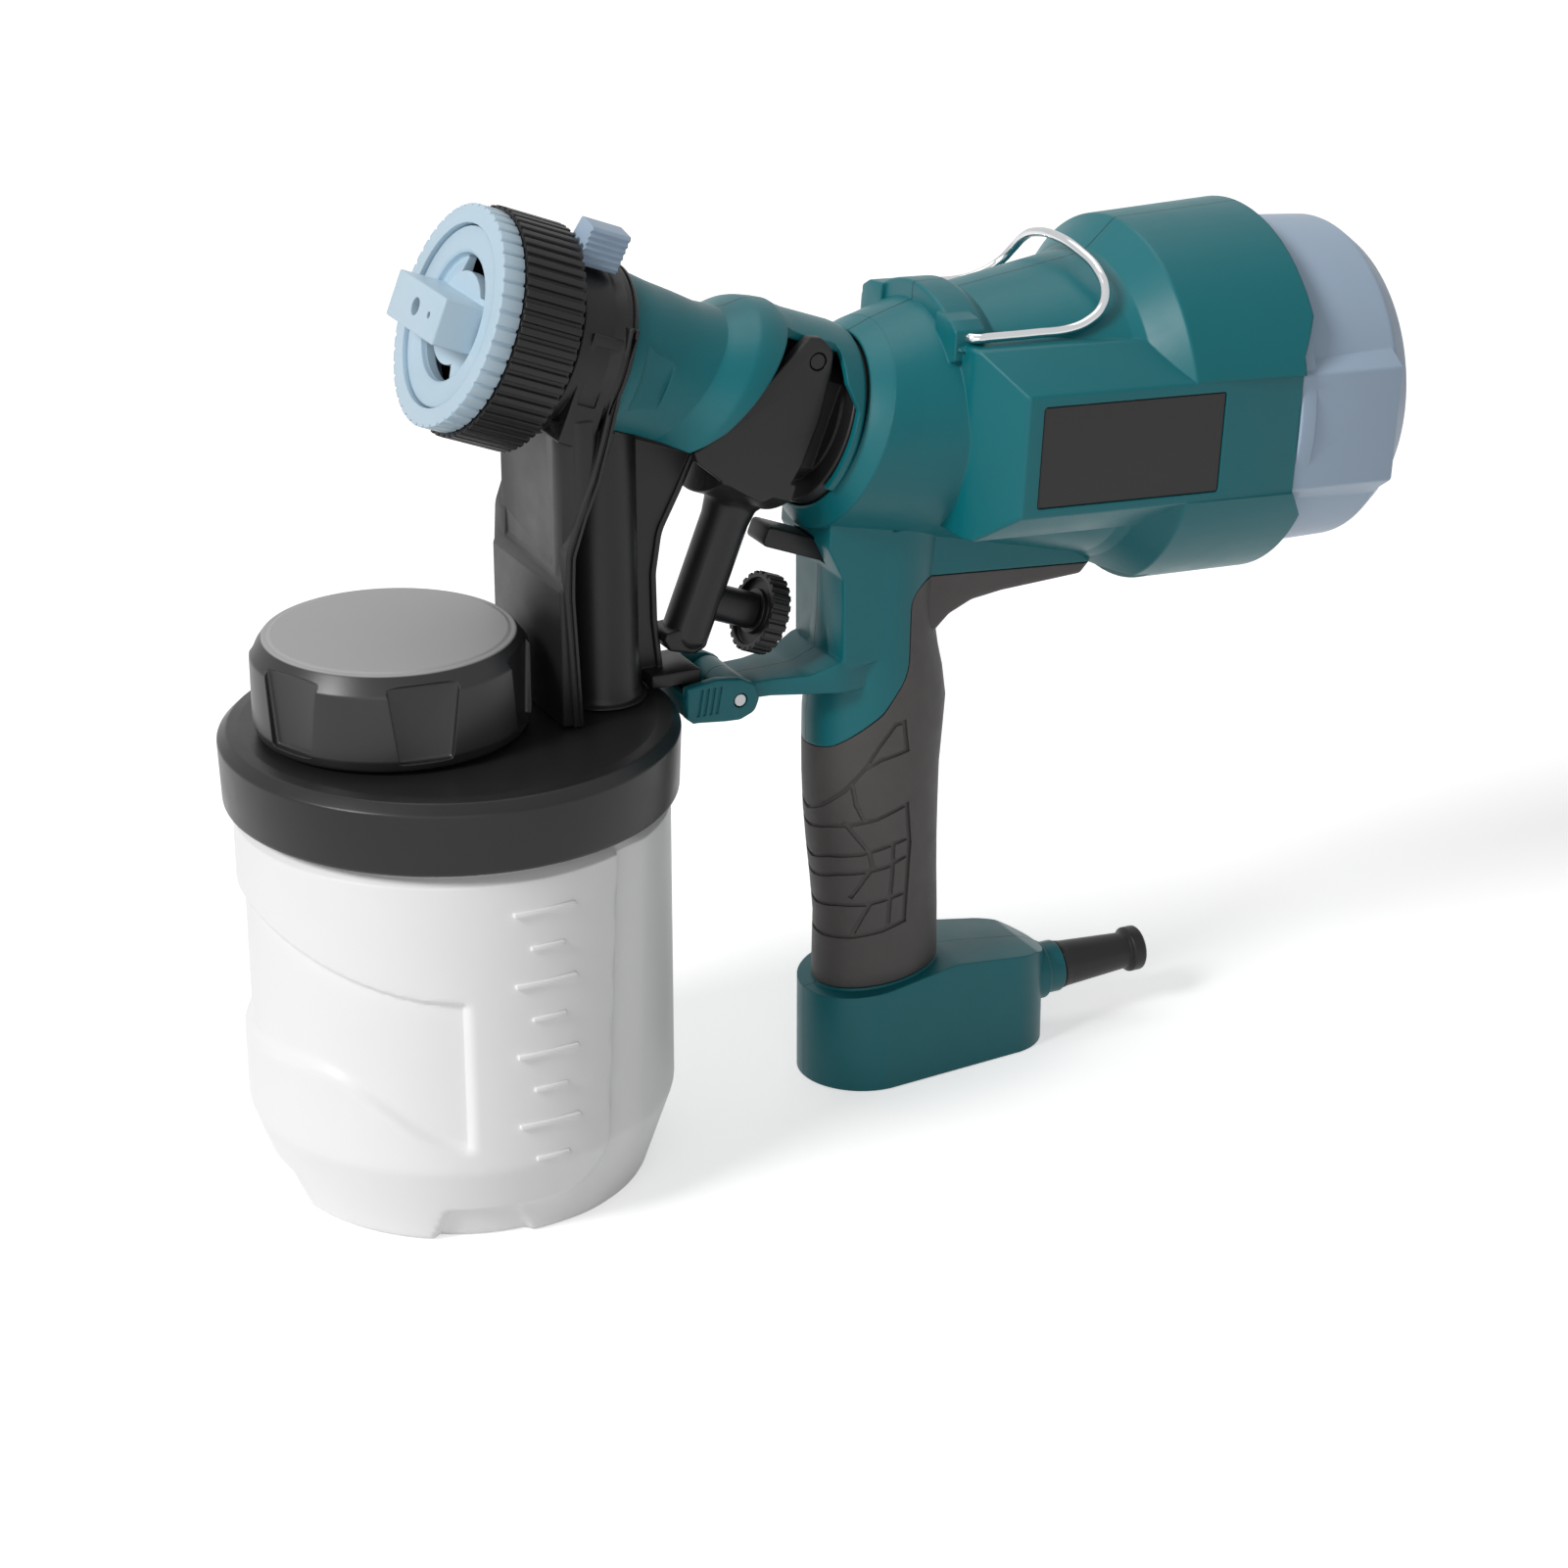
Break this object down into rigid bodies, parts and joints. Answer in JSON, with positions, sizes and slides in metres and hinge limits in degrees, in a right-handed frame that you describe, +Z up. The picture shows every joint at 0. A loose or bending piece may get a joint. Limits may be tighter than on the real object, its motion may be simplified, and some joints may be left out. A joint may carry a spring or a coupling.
{
  "type": "handheld paint sprayer",
  "caption": "Handheld turbine paint sprayer: tilted motor unit over a pistol grip, spray head with trigger and adjustable nozzle, and a screw-on suction cup with a filler cap.",
  "frame": {"origin": "centre of the cup's flat foot, on the surface that the sprayer stands on", "axes": "+Z up, +X to the rear of the motor unit so that the nozzle points to -X, -Y the gun's left side"},
  "size_m": [0.3083, 0.1116, 0.2422],
  "materials": {
    "teal_shell": "satin",
    "teal_clip": "satin",
    "grip_rubber": "matt",
    "black_plastic": "satin",
    "dark_plate": "fine grain",
    "blue_grey": "satin",
    "nozzle_grey": "satin",
    "cup_white": "semi-gloss",
    "white_nylon": "satin",
    "steel": "brushed",
    "chrome_wire": "polished",
    "brass": "turned",
    "iron_core": "varnished",
    "seal_rubber": "matt",
    "filter_foam": "open foam"
  },
  "bodies": {
    "gun": {"housing_left": "teal_shell", "housing_right": "teal_shell", "housing_screw_1": "steel", "housing_screw_2": "steel", "housing_screw_3": "steel", "housing_screw_4": "steel", "grip_sleeve": "grip_rubber", "label_plate_left": "dark_plate", "label_plate_right": "dark_plate", "motor_stator": "iron_core", "motor_bracket_front": "blue_grey", "motor_bracket_rear": "blue_grey", "bearing_front": "steel", "bearing_rear": "steel", "brush_left": "dark_plate", "brush_right": "dark_plate", "fan_shroud": "white_nylon", "switch_body": "black_plastic", "latch_pin": "steel", "strain_relief": "black_plastic", "cord_clamp": "black_plastic", "head_body": "black_plastic", "cup_lid": "black_plastic", "cup_gasket": "seal_rubber", "suction_tube": "white_nylon", "suction_filter": "steel", "barrel_cover": "teal_shell", "fluid_nozzle": "steel", "needle_packing": "brass", "needle_spring": "chrome_wire", "trigger_pin": "steel"},
    "rotor": {"rotor_shaft": "steel", "rotor_core": "iron_core", "commutator": "brass", "fan_impeller": "white_nylon"},
    "cover": {"rear_cover": "blue_grey", "air_filter": "filter_foam"},
    "bail": {"wire_bail": "chrome_wire"},
    "button": {"switch_button": "black_plastic"},
    "latch": {"latch_clip": "teal_clip"},
    "lever": {"pattern_lever": "blue_grey"},
    "nut": {"nozzle_nut": "black_plastic"},
    "cap_ring": {"air_cap_ring": "nozzle_grey"},
    "spray_cap": {"air_cap": "nozzle_grey"},
    "needle_rod": {"needle": "steel"},
    "trigger_lever": {"trigger": "black_plastic"},
    "knob": {"flow_knob": "black_plastic"},
    "cup_body": {"cup": "cup_white"},
    "filler_seal": {"filler_gasket": "seal_rubber"},
    "filler": {"filler_cap": "black_plastic"}
  },
  "joints": [
    {"name": "rotor_spin", "type": "hinge", "parent": "gun", "child": "rotor", "pos_m": [0.15312, 0, 0.17512], "axis": [0.9983, 0, -0.0576], "continuous": true},
    {"name": "trigger_pull", "type": "hinge", "parent": "gun", "child": "trigger_lever", "pos_m": [0.09087, 0, 0.19909], "axis": [0, -1, 0], "range_deg": [0, 7], "stiffness_Nm_per_rad": 3, "springref_deg": -6.88},
    {"name": "needle_slide", "type": "slide", "parent": "gun", "child": "needle_rod", "axis": [0.9304, 0, -0.3665], "range_m": [0, 0.0019]},
    {"name": "switch_press", "type": "slide", "parent": "gun", "child": "button", "axis": [0.9304, 0, -0.3665], "range_m": [0, 0.005]},
    {"name": "flow_turn", "type": "hinge", "parent": "trigger_lever", "child": "knob", "pos_m": [0.08458, 0, 0.13073], "axis": [0.9304, 0, -0.3665], "range_deg": [0, 720]},
    {"name": "pattern_turn", "type": "hinge", "parent": "gun", "child": "lever", "pos_m": [0.02598, 0, 0.20842], "axis": [0.9304, 0, -0.3665], "range_deg": [-30, 30]},
    {"name": "nut_turn", "type": "hinge", "parent": "gun", "child": "nut", "pos_m": [0.01574, 0, 0.21245], "axis": [0.9304, 0, -0.3665], "range_deg": [0, 720]},
    {"name": "ring_turn", "type": "hinge", "parent": "nut", "child": "cap_ring", "pos_m": [0.00644, 0, 0.21612], "axis": [0.9304, 0, -0.3665], "range_deg": [0, 360]},
    {"name": "cap_turn", "type": "hinge", "parent": "cap_ring", "child": "spray_cap", "pos_m": [0.00644, 0, 0.21612], "axis": [0.9304, 0, -0.3665], "range_deg": [-90, 90]},
    {"name": "cup_pull", "type": "slide", "parent": "gun", "child": "cup_body", "axis": [0, 0, -1], "range_m": [0, 0.11]},
    {"name": "filler_lift", "type": "slide", "parent": "gun", "child": "filler_seal", "axis": [0, 0, 1], "range_m": [0, 0.03]},
    {"name": "filler_turn", "type": "hinge", "parent": "filler_seal", "child": "filler", "pos_m": [-0.0145, 0, 0.14], "axis": [0, 0, 1], "range_deg": [0, 540]},
    {"name": "cover_pull", "type": "slide", "parent": "gun", "child": "cover", "axis": [0.9983, 0, -0.0576], "range_m": [0, 0.045]},
    {"name": "bail_swing", "type": "hinge", "parent": "gun", "child": "bail", "pos_m": [0.12765, 0, 0.20243], "axis": [0, -1, 0], "range_deg": [0, 100]},
    {"name": "latch_swing", "type": "hinge", "parent": "gun", "child": "latch", "pos_m": [0.072, 0, 0.114], "axis": [0, -1, 0], "range_deg": [0, 70]}
  ],
  "couplings": [
    {"joint": "needle_slide", "follows": "trigger_pull", "m_per_rad": 0.0151},
    {"joint": "switch_press", "follows": "trigger_pull", "m_per_rad": 0.0401}
  ]
}
